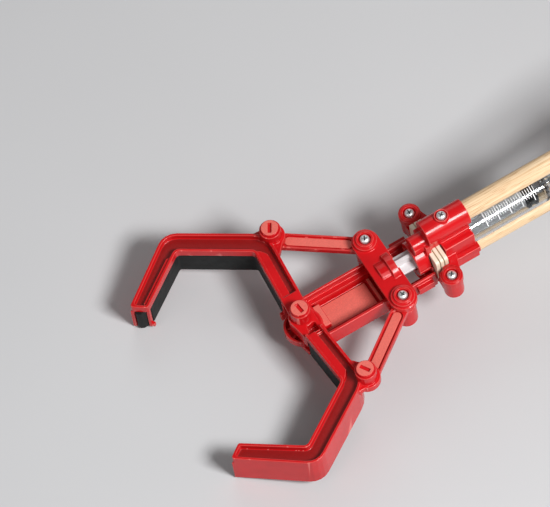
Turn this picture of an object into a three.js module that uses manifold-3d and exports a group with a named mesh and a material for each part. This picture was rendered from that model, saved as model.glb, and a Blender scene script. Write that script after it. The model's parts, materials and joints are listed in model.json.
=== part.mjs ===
// Toy hydraulic gripper arm. Millimetres. The arm is laid out along its own axis first:
// X points at the claws, Y is across the claws, Z is up, the syringes' axis is y = 0, z = 0 and
// the claws' shared pivot stands at x = 0, y = 0. At the end the arm is tipped nose down so that it
// rests on the two claw tips and the big finger ring, with z = 0 as the table and the origin under
// the middle of its box.
import * as THREE from 'three';
import { mergeVertices } from 'three/addons/utils/BufferGeometryUtils.js';
import Module from 'manifold-3d';

// ---- driving dimensions ----
const GAP = 0.3;
// Sides of the round pieces, from the largest to the smallest.
const FINE = 40;
const ROUND = 20;
const SMALL = 12;
const TINY = 8;
const CLAW_TOP = 7.9;
const CLAW_BOTTOM = -11.6;
const CLAW_LIP = 3.1;
const CLAW_WALL = 1.4;
const CLAW_LINE = [[-0.9, 10.4], [-3.4, 43.2], [32.6, 67.3], [62.5, 45.2]];
const CLAW_HALF = [4.9, 4.9, 4.8, 4.2];
const CLAW_END = [0.81, 0.5864];
const STRIP_T = 1.9;
const STRIP_START = [14, 12.1];
const HOOK_Y = [11.2, 13.2];
const LINK_PIN = [-9.8, 44.6];
const LINK_BOSS_R = 6.6;
const LINK_HUB_R = 5.2;
const PIN_CAP_Z = 12.7;
const PIN_CAP_R = 4.4;
const PIN_R = 2.2;
const PIN_HOLE_R = 2.5;
const PIN_FOOT_R = 3.7;
const PIN_FOOT_T = 1.2;
const PIVOT_R = 2.4;
const PIVOT_HOLE_R = 2.7;
const HUB_R = 4.9;
const KNUCKLE_R = 6.2;
const KNUCKLE_TOP = -8.5;
const UPPER_EAR = [-2.9, 5.5];
const RECESS_FLOOR = 0.6;
const BEND_R = [13, 9];
const TRAY_FLOOR = 4.7;
const LUG_R = 9.4;
const LUG_Z = [-8.2, -3.7];
const CROSS_X = -45.6;
const CROSS_Y = 17.7;
const CROSS_PLATE_R = 6.7;
const CROSS_TOP = 5;
const COLLAR_X = [-51.2, -47.5];
const COLLAR_R = 8.8;
const NOSE_X = -42.4;
const NOSE_R = 7;
const DISC_X = -48.9;
const DISC_R = 6.6;
const DISC_T = 1.3;
const LINK_Z0 = -1.2;
const LINK_Z1 = 1.8;
const TRAY_HALF = 12.2;
const TRAY_TOP = -1.6;
const TRAY_BOTTOM = -12.3;
const DOWEL_Z = 17;
const DOWEL_R = 4.8;
const CLAMP_R = 6.6;
const BARREL_R = 8;
const BORE_R = 7;
const ROD_HALF = 5.2;
const ROD_RING = 34;
const EAR_X = -71;
const EAR_Y = 19.7;
const RING_R = 15;
const RING_WALL = 2.6;
const RING_HALF = 7;
const FINGER = [-315, 24.5];
const OVAL_TOP = [-315, -23];
const OVAL_END = [-330.5, -63.6];
const HANDLE_HALF = 7;
const THUMB_X = -389;
// Claw: thickness of the outer wall, and how far in from the edge the grip-side core wall runs.
const OUTER_WALL_T = 1.6;
const CORE_INSET = [2.4, 3.8];
const CORE_END = 4.4;
const RIB_HALF = 0.6;
const RIB_PLACES = [[0, 0.05], [0, 0.55], [1, 0.2], [1, 0.5], [1, 0.8], [2, 0.35], [2, 0.7]];
const WEB_TOP = 6.4;
const BOSS_TOP = 6.2;
const THROUGH = 20;
// Frame: pivot end, tray and front bracket.
const LUG_SPOKES = 8;
const TRAY_X = [-66.5, -6.95];
const TRAY_FRONT_T = 1.45;
const LEDGE_Y = 8;
const LEDGE_TOP = -5.7;
const PANEL_HALF = 6.9;
const PANEL_T = 2.3;
const TRAY_WALL = 1.5;
const TRAY_FLOOR_T = 1.2;
const BRACKET_X = [-91, -68];
const BRACKET_HALF = 9.8;
const SPLIT_Z = 0.2;
const FLANGE_SLOT_X = [-73.9, -66.6];
const FLANGE_SLOT_Y = 13.2;
const FLANGE_SLOT_Z = 6.5;
const FRONT_TUBE_R = 8.8;
const FRONT_TUBE_X = -59.8;
const ROD_BORE_R = 5.9;
const STOP_R = 4.8;
const STOP_X = [-68.1, -60.8];
const STOP_Z = 11.6;
const CLAMP_SCREW_X = -79;
const SCREW_HOLE_R = 1.7;
// Syringes, dowels, middle bracket and handle.
const FRONT_FLANGE_X = -66.9;
const REAR_FLANGE_X = -302.9;
const FLANGE_T = 6.6;
const FLANGE_WIDE = 12.8;
const FLANGE_TALL = 6.1;
const FLANGE_GROOVES = [2, 4.2];
const GROOVE_W = 0.6;
const GROOVE_DEEP = 0.7;
const NOZZLE_LENGTH = 12;
const NOZZLE_BORE_R = 1;
const RIB_T = 0.8;
const DOWEL_X = [-284, -70.4];
const DOWEL_CHAMFER = 0.6;
const TUBE_X = [-238.4, -135.9];
const TUBE_R = 3.1;
const TUBE_BORE_R = 2.5;
const MIDDLE_X = [-191, -168];
const HANDLE_CLAMP_X = [-296, -271];
const HANDLE_SCREW_X = [-290.5, -276];

// ---- solids ----
const wasm = await Module();
wasm.setup();

function toSolid(geometry) {
  let g = geometry.clone();
  g.deleteAttribute('normal');
  g.deleteAttribute('uv');
  g = mergeVertices(g, 1e-4);
  const mesh = new wasm.Mesh({
    numProp: 3,
    vertProperties: new Float32Array(g.attributes.position.array),
    triVerts: new Uint32Array(g.index.array),
  });
  return new wasm.Manifold(mesh);
}

function join(...solids) {
  return solids.reduce((a, b) => a.add(b));
}

function cut(base, ...tools) {
  return tools.reduce((a, b) => a.subtract(b), base);
}

function box(x0, x1, y0, y1, z0, z1) {
  const g = new THREE.BoxGeometry(x1 - x0, y1 - y0, z1 - z0);
  g.translate((x0 + x1) / 2, (y0 + y1) / 2, (z0 + z1) / 2);
  return toSolid(g);
}

// Round bar: axis 'x' takes (y, z) as its centre, 'y' takes (x, z), 'z' takes (x, y).
function bar(axis, r, from, to, u, v, sides = ROUND, r2 = r) {
  const g = new THREE.CylinderGeometry(r2, r, to - from, sides);
  if (axis === 'x') g.rotateZ(-Math.PI / 2).translate((from + to) / 2, u, v);
  if (axis === 'y') g.translate(u, (from + to) / 2, v);
  if (axis === 'z') g.rotateX(Math.PI / 2).translate(u, v, (from + to) / 2);
  return toSolid(g);
}

function plate(points, z0, z1) {
  const shape = new THREE.Shape(points.map((p) => new THREE.Vector2(p[0], p[1])));
  const g = new THREE.ExtrudeGeometry(shape, { depth: z1 - z0, bevelEnabled: false });
  g.translate(0, 0, z0);
  return toSolid(g);
}

// Flat plate drawn in x and z, standing from y0 to y1.
function sidePlate(points, y0, y1) {
  const shape = new THREE.Shape(points.map((p) => new THREE.Vector2(p[0], p[1])));
  const g = new THREE.ExtrudeGeometry(shape, { depth: y1 - y0, bevelEnabled: false });
  g.rotateX(Math.PI / 2);
  g.translate(0, y1, 0);
  return toSolid(g);
}

// Turned piece on the arm's axis: profile is [x, radius] pairs, starting and ending on the axis.
function turned(profile, y = 0, z = 0, sides = FINE) {
  const pts = profile.map((p) => new THREE.Vector2(p[1], p[0]));
  const g = new THREE.LatheGeometry(pts, sides);
  g.rotateZ(-Math.PI / 2);
  g.translate(0, y, z);
  return toSolid(g);
}

// Replaces each corner [x, y, r] by an arc of radius r.
function rounded(corners, steps = 4) {
  const out = [];
  const n = corners.length;
  for (let i = 0; i < n; i += 1) {
    const p = new THREE.Vector2(corners[i][0], corners[i][1]);
    const r = corners[i][2] || 0;
    if (!r) {
      out.push([p.x, p.y]);
      continue;
    }
    const a = new THREE.Vector2(...corners[(i + n - 1) % n].slice(0, 2)).sub(p).normalize();
    const b = new THREE.Vector2(...corners[(i + 1) % n].slice(0, 2)).sub(p).normalize();
    const half = Math.acos(THREE.MathUtils.clamp(a.dot(b), -1, 1)) / 2;
    const reach = r / Math.tan(half);
    const mid = a.clone().add(b).normalize().multiplyScalar(r / Math.sin(half)).add(p);
    const s = a.clone().multiplyScalar(reach).add(p).sub(mid);
    const e = b.clone().multiplyScalar(reach).add(p).sub(mid);
    const a0 = Math.atan2(s.y, s.x);
    let turn = Math.atan2(e.y, e.x) - a0;
    if (turn > Math.PI) turn -= 2 * Math.PI;
    if (turn < -Math.PI) turn += 2 * Math.PI;
    for (let k = 0; k <= steps; k += 1) {
      const t = a0 + (turn * k) / steps;
      out.push([mid.x + r * Math.cos(t), mid.y + r * Math.sin(t)]);
    }
  }
  return out;
}

function stadium(a, b, r, steps = 10) {
  const dir = Math.atan2(b[1] - a[1], b[0] - a[0]);
  const out = [];
  for (let k = 0; k <= steps; k += 1) {
    const t = dir + Math.PI / 2 + (Math.PI * k) / steps;
    out.push([a[0] + r * Math.cos(t), a[1] + r * Math.sin(t)]);
  }
  for (let k = 0; k <= steps; k += 1) {
    const t = dir - Math.PI / 2 + (Math.PI * k) / steps;
    out.push([b[0] + r * Math.cos(t), b[1] + r * Math.sin(t)]);
  }
  return out;
}

// ---- claws ----
// Line beside the claw's centre line: 'side' is +1 for the outside and -1 for the grip side,
// 'inset' is how far it stays inside the claw's edge.
function clawEdge(side, inset, from = 0, endInset = 0, startReach = 0) {
  const dirs = [];
  for (let i = 0; i < 3; i += 1) {
    const d = new THREE.Vector2(
      CLAW_LINE[i + 1][0] - CLAW_LINE[i][0],
      CLAW_LINE[i + 1][1] - CLAW_LINE[i][1],
    );
    dirs.push(d.normalize());
  }
  const normals = dirs.map((d) => new THREE.Vector2(-d.y, d.x));
  const out = [];
  for (let i = from; i < 4; i += 1) {
    let m;
    if (i === 0) m = normals[0].clone();
    else if (i === 3) {
      const u = new THREE.Vector2(...CLAW_END);
      m = u.multiplyScalar(1 / u.dot(normals[2]));
    } else {
      m = normals[i - 1].clone().add(normals[i]);
      m.multiplyScalar(1 / (1 + normals[i - 1].dot(normals[i])));
    }
    const reach = side * (CLAW_HALF[i] - inset);
    const p = [CLAW_LINE[i][0] + m.x * reach, CLAW_LINE[i][1] + m.y * reach];
    if (i === 0) {
      p[0] -= dirs[0].x * startReach;
      p[1] -= dirs[0].y * startReach;
    }
    if (i === 3) {
      p[0] -= dirs[2].x * endInset;
      p[1] -= dirs[2].y * endInset;
    }
    out.push(p);
  }
  return out;
}

function clawOutline(inset, endInset, startReach = 0) {
  const o = clawEdge(1, inset, 0, endInset, startReach);
  const i = clawEdge(-1, inset, 0, endInset, startReach);
  return rounded([
    [...o[0], 0], [...o[1], BEND_R[0] - inset], [...o[2], BEND_R[1] - inset], [...o[3], 1.2],
    [...i[3], 1.2], [...i[2], 2.4 + inset], [...i[1], 2.4 + inset], [...i[0], 0],
  ]);
}

function clawWall(side, near, far, endInset) {
  const a = clawEdge(side, near, 0, endInset);
  const b = clawEdge(side, far, 0, endInset);
  const [r1, r2] = side > 0 ? BEND_R : [2.4, 2.4];
  const thick = side > 0 ? near - far : 1;
  return rounded([
    [...a[0], 0], [...a[1], r1], [...a[2], r2], [...a[3], 0],
    [...b[3], 0], [...b[2], r2 + thick], [...b[1], r1 + thick], [...b[0], 0],
  ]);
}

function mirrored(points, s) {
  return points.map((p) => [p[0], s * p[1]]);
}

// Corner frame at the claw's tip: 'a' runs along the last segment past the tip, 'b' runs from the
// grip face into the claw.
function tipPoint(a, b) {
  const i = clawEdge(-1, 0)[3];
  const t = new THREE.Vector2(CLAW_LINE[3][0] - CLAW_LINE[2][0], CLAW_LINE[3][1] - CLAW_LINE[2][1]);
  t.normalize();
  const n = new THREE.Vector2(-t.y, t.x);
  return [i[0] + t.x * a + n.x * b, i[1] + t.y * a + n.y * b];
}

function clawRibs(s) {
  const near = clawEdge(1, 1);
  const far = clawEdge(-1, 3.4);
  const ribs = [];
  for (const [i, t] of RIB_PLACES) {
    const a = new THREE.Vector2(...near[i]).lerp(new THREE.Vector2(...near[i + 1]), t);
    const b = new THREE.Vector2(...far[i]).lerp(new THREE.Vector2(...far[i + 1]), t);
    const d = b.clone().sub(a).normalize();
    const w = new THREE.Vector2(-d.y, d.x).multiplyScalar(RIB_HALF);
    const quad = [
      [a.x + w.x, a.y + w.y], [b.x + w.x, b.y + w.y], [b.x - w.x, b.y - w.y], [a.x - w.x, a.y - w.y],
    ];
    ribs.push(plate(mirrored(quad, s), CLAW_BOTTOM + 1, CLAW_LIP + 0.5));
  }
  return ribs;
}

function claw(s) {
  const slab = plate(mirrored(clawOutline(0, 0), s), CLAW_LIP, CLAW_TOP);
  const hollow = plate(mirrored(clawOutline(CLAW_WALL, CLAW_WALL, 0.8), s), TRAY_FLOOR, CLAW_TOP + 0.5);
  const outer = plate(mirrored(clawWall(1, 0, OUTER_WALL_T, 0), s), CLAW_BOTTOM, CLAW_LIP + 0.1);
  const core = plate(mirrored(clawWall(-1, ...CORE_INSET, CORE_END), s), CLAW_BOTTOM, CLAW_LIP + 0.1);
  const post = plate(
    mirrored([tipPoint(-1.9, 0), tipPoint(-0.1, 0), tipPoint(0.2, 1.2), tipPoint(-1.9, 1.2)], s),
    CLAW_BOTTOM,
    CLAW_LIP + 0.5,
  );
  const tipFoot = plate(
    mirrored([tipPoint(-2, -1.4), tipPoint(-0.4, -1.4), tipPoint(-0.2, 0.4), tipPoint(-2, 0.4)], s),
    CLAW_BOTTOM,
    CLAW_BOTTOM + 2.6,
  );
  // Raised strips on the tray floor, beside the grip-side rim. The right claw has a second one.
  const e0 = clawEdge(-1, CLAW_WALL - 0.2);
  const e1 = clawEdge(-1, 5.2);
  const e2 = clawEdge(-1, 3);
  const along = (a, b, t) => [a[0] + (b[0] - a[0]) * t, a[1] + (b[1] - a[1]) * t];
  const padA = plate(
    mirrored(rounded([
      [...along(e0[0], e0[1], 0.02), 0], [...along(e0[0], e0[1], 0.99), 0],
      [...along(e2[0], e2[1], 0.92), 1.5], [...along(e1[0], e1[1], 0.8), 1.5],
      [...along(e1[0], e1[1], 0.02), 0.6],
    ]), s),
    CLAW_LIP + 1,
    CLAW_TOP - 0.9,
  );
  const padB = plate(
    mirrored([
      along(e0[2], e0[3], 0.12), along(e0[2], e0[3], 0.93),
      along(e2[2], e2[3], 0.93), along(e2[2], e2[3], 0.2),
    ], s),
    CLAW_LIP + 1,
    CLAW_TOP - 1.1,
  );
  const tray = cut(join(slab, linkBoss(s)), hollow);
  const pads = s < 0 ? [padA, padB] : [padA];
  const body = join(tray, outer, core, post, tipFoot, ...pads, ...clawRibs(s), knuckle(s));
  const [px, py] = [LINK_PIN[0], s * LINK_PIN[1]];
  const relief = LINK_Z0 - GAP - PIN_FOOT_T - GAP;
  return cut(
    body,
    bar('z', LINK_BOSS_R + 0.7, LINK_Z0 - GAP, LINK_Z1 + GAP, px, py, FINE),
    bar('z', PIN_FOOT_R + 0.5, relief, LINK_Z0 - 0.1, px, py, ROUND),
    bar('z', PIN_HOLE_R, -THROUGH, THROUGH, px, py, SMALL),
    bar('z', PIVOT_HOLE_R, -THROUGH, THROUGH, 0, 0, SMALL),
  );
}

// Neck outline from the claw's first edge points to a hub of radius r round the pivot.
function neck(r) {
  const start = clawEdge(1, 0)[0];
  const stop = clawEdge(-1, 0)[0];
  return [
    [start[0], start[1] + 1], [-r, 0], [-r / 2, -r * 0.86],
    [r / 2, -r * 0.86], [r, 0], [stop[0], stop[1] + 1],
  ];
}

// Pivot end. The right claw carries a tall hub and the hook that ends its grip strip. The left one
// has two ears round the frame's lug, the upper of them recessed, under that hub.
function knuckle(s) {
  const start = clawEdge(1, 0)[0];
  const stop = clawEdge(-1, 0)[0];
  const hookY = [s * HOOK_Y[0], s * HOOK_Y[1]].sort((a, b) => a - b);
  const reach = s < 0 ? 0.2 : STRIP_T + 0.7;
  const tie = box(stop[0] - 3.4, stop[0] - reach, ...hookY, CLAW_BOTTOM, CLAW_LIP + 0.5);
  if (s < 0) {
    return join(
      tie,
      box(stop[0] - 1.2, stop[0] + 1.7, ...hookY, CLAW_BOTTOM, -6.5),
      plate(mirrored(neck(HUB_R), s), UPPER_EAR[1] + GAP, CLAW_TOP),
      box(start[0] + 0.3, stop[0] - 0.3, -12, -9.9, CLAW_LIP, CLAW_TOP),
      bar('z', HUB_R, UPPER_EAR[1] + GAP, PIN_CAP_Z - GAP, 0, 0),
    );
  }
  const recess = rounded([[-4.1, 5.7, 0.8], [0.3, 5.7, 0.8], [1.4, 11.6, 0], [-4.1, 11.6, 0]]);
  return join(
    tie,
    box(start[0] + 1, stop[0] - 2, 11, 11.5, CLAW_LIP, TRAY_FLOOR + 1.3),
    box(start[0] + 1, stop[0] - 2, 12.2, 12.7, CLAW_LIP, TRAY_FLOOR + 1.3),
    plate(neck(KNUCKLE_R), CLAW_BOTTOM, KNUCKLE_TOP),
    bar('z', KNUCKLE_R + 0.4, CLAW_BOTTOM, KNUCKLE_TOP, 0, 0),
    bar('z', KNUCKLE_R, ...UPPER_EAR, 0, 0),
    cut(plate(neck(KNUCKLE_R), ...UPPER_EAR), plate(recess, RECESS_FLOOR, UPPER_EAR[1] + 1)),
  );
}

// Stepped boss over the link's eye, tied to the claw's outer edge by a flared web.
function linkBoss(s) {
  const [px, py] = LINK_PIN;
  const edge = clawEdge(1, 0)[1];
  const web = mirrored([
    [px - 4.9, py], [px - 4.6, py - 4], [edge[0] + 0.4, py - 11], [edge[0] + 6, py - 11],
    [px + 11, py + 2], [px + 7, py + 5.6], [px + 1, py + 5],
  ], s);
  return join(
    bar('z', LINK_HUB_R, LINK_Z1 + GAP, PIN_CAP_Z - GAP, px, s * py),
    bar('z', LINK_BOSS_R, LINK_Z1 + GAP, BOSS_TOP, px, s * py, FINE),
    plate(web, CLAW_LIP, WEB_TOP),
  );
}

function gripStrip(s) {
  const face = clawEdge(-1, 0.1);
  const back = clawEdge(-1, 0.1 + STRIP_T);
  const skew = CLAW_END[0] * 0.804 - CLAW_END[1] * 0.594;
  const lean = skew / 0.953;
  const startY = STRIP_START[s < 0 ? 0 : 1];
  const startFace = [face[0][0] - 0.25, startY];
  const startBack = [back[0][0] - 0.25, startY];
  const corners = [
    [...startFace, 0], [...face[1], 1.6], [...face[2], 1.6], [...tipPoint(-3, 0.1), 0],
    [...tipPoint(-2.2, 1.5), 0], [...tipPoint(0.1, 1.5), 0.4], [...tipPoint(1.2 + lean * 3, 3), 1],
    [...tipPoint(1.2 + lean * 5, 5), 1], [...tipPoint(0.2 + lean * 6.2, 6.2), 0],
    [...tipPoint(lean * 6.2 - 1.3, 6.2), 0], [...tipPoint(lean * 3.4 - 1.8, 3.4), 0],
    [...tipPoint(-3.2, 2), 0], [...back[2], 3], [...back[1], 3], [...startBack, 0],
  ];
  return plate(mirrored(rounded(corners, 5), s), CLAW_BOTTOM + 0.3, CLAW_LIP - GAP);
}

// Slotted push-in pin: a cap with a long slot across it and a formed lower end.
function slottedPin(x, y, r, bottom, angle) {
  const slot = [[-2.6, -0.85], [2.6, -0.85], [2.6, 0.85], [-2.6, 0.85]].map((p) => [
    x + p[0] * Math.cos(angle) - p[1] * Math.sin(angle),
    y + p[0] * Math.sin(angle) + p[1] * Math.cos(angle),
  ]);
  return cut(
    join(
      bar('z', r, bottom, PIN_CAP_Z, x, y, SMALL),
      bar('z', PIN_CAP_R, PIN_CAP_Z - 0.01, PIN_CAP_Z + 0.95, x, y, ROUND),
      bar('z', PIN_CAP_R, PIN_CAP_Z + 0.94, PIN_CAP_Z + 1.3, x, y, ROUND, PIN_CAP_R - 0.3),
      bar('z', PIN_FOOT_R, bottom - PIN_FOOT_T, bottom + 0.01, x, y, SMALL),
    ),
    plate(slot, PIN_CAP_Z + 0.4, PIN_CAP_Z + 3),
  );
}

// ---- link between crosshead and claw ----
function link(s) {
  const a = [CROSS_X, s * CROSS_Y];
  const b = [LINK_PIN[0], s * LINK_PIN[1]];
  const dir = new THREE.Vector2(b[0] - a[0], b[1] - a[1]).normalize();
  const shift = (p, t) => [p[0] + dir.x * t, p[1] + dir.y * t];
  let body = join(
    plate(stadium(a, b, 3.9), LINK_Z0, LINK_Z1),
    bar('z', 5, LINK_Z0, LINK_Z1, ...a),
    bar('z', 4.6, LINK_Z0, LINK_Z1, ...b),
  );
  const pocket = stadium(shift(a, 9), shift(b, -8.4), 3);
  body = cut(body, plate(pocket, LINK_Z1 - 1.3, LINK_Z1 + 1), plate(pocket, LINK_Z0 - 1, LINK_Z0 + 1.3));
  body = join(body, plate(stadium(shift(a, 8.6), shift(b, -8), 2.2), LINK_Z0 + 0.6, LINK_Z1 - 0.5));
  return cut(body, bar('z', 3.3, -9, 9, ...a, ROUND), bar('z', PIN_HOLE_R, -9, 9, ...b, SMALL));
}

// ---- crosshead ----
function crossheadTop() {
  const a = [CROSS_X, -CROSS_Y];
  const b = [CROSS_X, CROSS_Y];
  const [rear, front] = COLLAR_X;
  let body = join(
    plate(stadium(a, b, CROSS_PLATE_R), LINK_Z1 + GAP, CROSS_TOP),
    bar('x', COLLAR_R, rear, front, 0, 0, FINE),
    box(rear, front, -7.6, 7.6, -8.7, 3),
    bar('x', NOSE_R, front - 0.1, NOSE_X, 0, 0, ROUND),
  );
  for (const p of [a, b]) {
    body = join(
      body,
      bar('z', 5.8, CROSS_TOP - 0.1, CROSS_TOP + 1.9, ...p, FINE),
      bar('z', 4.4, CROSS_TOP + 1.8, CROSS_TOP + 2.9, ...p, ROUND),
    );
    body = cut(body, bar('z', 3.1, CROSS_TOP + 1.5, 9, ...p, ROUND), bar('z', 1.9, 0, 9, ...p, SMALL));
  }
  const pocket = [DISC_X - DISC_T - GAP, DISC_X + GAP];
  return cut(
    body,
    bar('x', DISC_R + GAP, ...pocket, 0, 0, ROUND),
    box(...pocket, -DISC_R - GAP, DISC_R + GAP, -9, 0),
    bar('x', 5.7, rear - 2, pocket[0] + 0.1, 0, 0, ROUND),
    box(rear - 2, pocket[0] + 0.1, -5.7, 5.7, -9, 0),
  );
}

function crossheadBottom() {
  const a = [CROSS_X, -CROSS_Y];
  const b = [CROSS_X, CROSS_Y];
  let body = plate(stadium(a, b, 5.4), -14.9, TRAY_BOTTOM - GAP);
  for (const p of [a, b]) {
    body = join(body, bar('z', 5.4, -14, LINK_Z0 - GAP, ...p, ROUND));
    body = cut(body, bar('z', 1.9, -13.6, 0, ...p, SMALL));
  }
  return body;
}

function screw(axis, u, v, headTop, headR, shaftEnd, shaftR) {
  // Pan head with a cross recess; the shaft points down the axis from the head.
  const down = headTop > shaftEnd ? -1 : 1;
  const h = headR * 0.72;
  const lo = Math.min(headTop, headTop + down * h);
  const hi = Math.max(headTop, headTop + down * h);
  const head = down < 0
    ? bar(axis, headR, lo, hi, u, v, ROUND, headR * 0.72)
    : bar(axis, headR * 0.72, lo, hi, u, v, ROUND, headR);
  const s0 = Math.min(shaftEnd, headTop + down * (h - 0.1));
  const s1 = Math.max(shaftEnd, headTop + down * (h - 0.1));
  const shaft = bar(axis, shaftR, s0, s1, u, v, TINY);
  const deep = 0.9;
  const c0 = Math.min(headTop - down * 0.5, headTop + down * deep);
  const c1 = Math.max(headTop - down * 0.5, headTop + down * deep);
  const w = headR * 0.14;
  const l = headR * 0.55;
  let arms;
  if (axis === 'z') arms = [box(u - w, u + w, v - l, v + l, c0, c1), box(u - l, u + l, v - w, v + w, c0, c1)];
  else arms = [box(u - w, u + w, c0, c1, v - l, v + l), box(u - l, u + l, c0, c1, v - w, v + w)];
  return cut(join(head, shaft), ...arms);
}

// ---- frame: pivot lug, tray and the lower half of the front bracket ----
function frame() {
  const bottom = TRAY_BOTTOM;
  const half = TRAY_HALF;
  let lug = cut(bar('z', LUG_R, ...LUG_Z, 0, 0, FINE), bar('z', LUG_R - 1.3, LUG_Z[0] + 1.8, 0, 0, 0, FINE));
  lug = join(lug, bar('z', 4.2, LUG_Z[0] + 1.7, LUG_Z[1], 0, 0, ROUND));
  for (let k = 0; k < LUG_SPOKES; k += 1) {
    const t = (k + 0.5) * ((2 * Math.PI) / LUG_SPOKES);
    const c = Math.cos(t);
    const n = Math.sin(t);
    const q = [[3.6, 0.45], [8.6, 0.45], [8.6, -0.45], [3.6, -0.45]];
    const spoke = q.map((p) => [p[0] * c - p[1] * n, p[0] * n + p[1] * c]);
    lug = join(lug, plate(spoke, LUG_Z[0] + 1.7, LUG_Z[1] - 1.2));
  }
  let body = join(
    lug,
    box(-12.2, -7, -6.2, 6.2, LUG_Z[0], LUG_Z[1] - 0.8),
    box(...TRAY_X, -half, half, bottom, bottom + TRAY_FLOOR_T),
    box(...TRAY_X, -half, -half + TRAY_WALL, bottom, TRAY_TOP),
    box(...TRAY_X, half - TRAY_WALL, half, bottom, TRAY_TOP),
    box(...TRAY_X, -half, -LEDGE_Y, bottom, LEDGE_TOP),
    box(...TRAY_X, LEDGE_Y, half, bottom, LEDGE_TOP),
    box(TRAY_X[1] - TRAY_FRONT_T, TRAY_X[1], -half, half, bottom, -4),
    box(-37, TRAY_X[1] - 1, -PANEL_HALF, PANEL_HALF, bottom, bottom + PANEL_T),
    box(-40, -38.2, -half, half, bottom, bottom + PANEL_T),
  );
  for (const s of [-1, 1]) {
    const y0 = Math.min(s * half, s * (half + 2.2));
    const y1 = Math.max(s * half, s * (half + 2.2));
    body = join(body, box(-64, -55.5, y0 - 0.2, y1 + 0.2, -8.5, -3.6));
  }
  // Lower bracket half: barrel cradle, front half tube, ears and the lower dowel socket.
  body = join(
    body,
    box(BRACKET_X[0], -66, -BRACKET_HALF, BRACKET_HALF, bottom, -SPLIT_Z),
    box(BRACKET_X[0], FLANGE_SLOT_X[0], -half, half, -4.4, -SPLIT_Z),
    cut(bar('x', FRONT_TUBE_R, TRAY_X[0], FRONT_TUBE_X, 0, 0, FINE), box(-70, -50, -12, 12, -SPLIT_Z, 12)),
    bar('x', CLAMP_R, ...BRACKET_X, 0, -DOWEL_Z, FINE),
    box(-90, -68.5, -5, 5, -DOWEL_Z, -10),
    bar('x', STOP_R, ...STOP_X, 0, -STOP_Z, FINE),
    bar('z', 3.5, -25.3, -20, CLAMP_SCREW_X, 0, ROUND),
  );
  for (const s of [-1, 1]) {
    const arm = [[-75, s * 9], [-67, s * 9], [-66.6, s * EAR_Y], [-75.4, s * EAR_Y]];
    body = join(body, plate(arm, -10, -SPLIT_Z), bar('z', 4.9, -10, -SPLIT_Z, EAR_X, s * EAR_Y));
  }
  body = cut(
    body,
    box(-63.4, -40, -8.4, 8.4, bottom - 1, bottom + 3),
    bar('x', BARREL_R + GAP, -95, FLANGE_SLOT_X[0] + 0.7, 0, 0, ROUND),
    box(...FLANGE_SLOT_X, -FLANGE_SLOT_Y, FLANGE_SLOT_Y, -FLANGE_SLOT_Z, 2),
    bar('x', ROD_BORE_R, -70, -50, 0, 0, ROUND),
    bar('x', BARREL_R + GAP, ...FLANGE_SLOT_X, 0, 0, ROUND),
    bar('x', DOWEL_R + GAP, -95, -70, 0, -DOWEL_Z, ROUND),
    bar('z', PIVOT_HOLE_R, -THROUGH, THROUGH, 0, 0, SMALL),
    bar('z', 3, -26, -24.2, CLAMP_SCREW_X, 0, SMALL),
    bar('z', 1.6, -26, -20, CLAMP_SCREW_X, 0, TINY),
    bar('z', SCREW_HOLE_R, -7.6, 3, EAR_X, EAR_Y, TINY),
    bar('z', SCREW_HOLE_R, -7.6, 3, EAR_X, -EAR_Y, TINY),
  );
  return body;
}

function bracketTop() {
  let body = join(
    bar('x', CLAMP_R, ...BRACKET_X, 0, DOWEL_Z, FINE),
    box(-90, -68.5, -5, 5, 9, DOWEL_Z),
    bar('x', STOP_R, ...STOP_X, 0, STOP_Z, FINE),
    box(-68.6, -65.9, -6.2, 6.2, 2, 14),
    box(-90, -74.1, -BRACKET_HALF, BRACKET_HALF, SPLIT_Z, 9.6),
    cut(bar('x', FRONT_TUBE_R, -66.3, FRONT_TUBE_X, 0, 0, FINE), box(-70, -50, -12, 12, -12, SPLIT_Z)),
    box(-74.2, -66, -4.6, 4.6, 7.2, 12),
    bar('z', 3.5, 20, 25, CLAMP_SCREW_X, 0, ROUND),
  );
  for (const s of [-1, 1]) {
    const arm = [[-79.5, s * 9], [-74.2, s * 9], [-67.2, s * (EAR_Y - 3.4)], [-74.8, s * (EAR_Y + 3.6)]];
    body = join(
      body,
      plate(arm, SPLIT_Z, 3.2),
      bar('z', 5.4, SPLIT_Z, 4.2, EAR_X, s * EAR_Y, ROUND),
      bar('z', 4.6, 4.1, 4.9, EAR_X, s * EAR_Y, ROUND),
    );
  }
  body = cut(
    body,
    bar('x', BARREL_R + GAP, -95, -73.5, 0, 0, ROUND),
    bar('x', ROD_BORE_R, -70, -50, 0, 0, ROUND),
    box(...FLANGE_SLOT_X, -FLANGE_SLOT_Y, FLANGE_SLOT_Y, -2, FLANGE_SLOT_Z),
    bar('x', BARREL_R + GAP, ...FLANGE_SLOT_X, 0, 0, ROUND),
    bar('x', DOWEL_R + GAP, -95, -70, 0, DOWEL_Z, ROUND),
    bar('z', 3, 23.9, 26, CLAMP_SCREW_X, 0, SMALL),
    bar('z', 1.6, 20, 26, CLAMP_SCREW_X, 0, TINY),
  );
  for (const s of [-1, 1]) {
    body = cut(
      body,
      bar('z', 3.1, 3.4, 6, EAR_X, s * EAR_Y, ROUND),
      bar('z', SCREW_HOLE_R, -1, 6, EAR_X, s * EAR_Y, TINY),
    );
  }
  return body;
}

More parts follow.
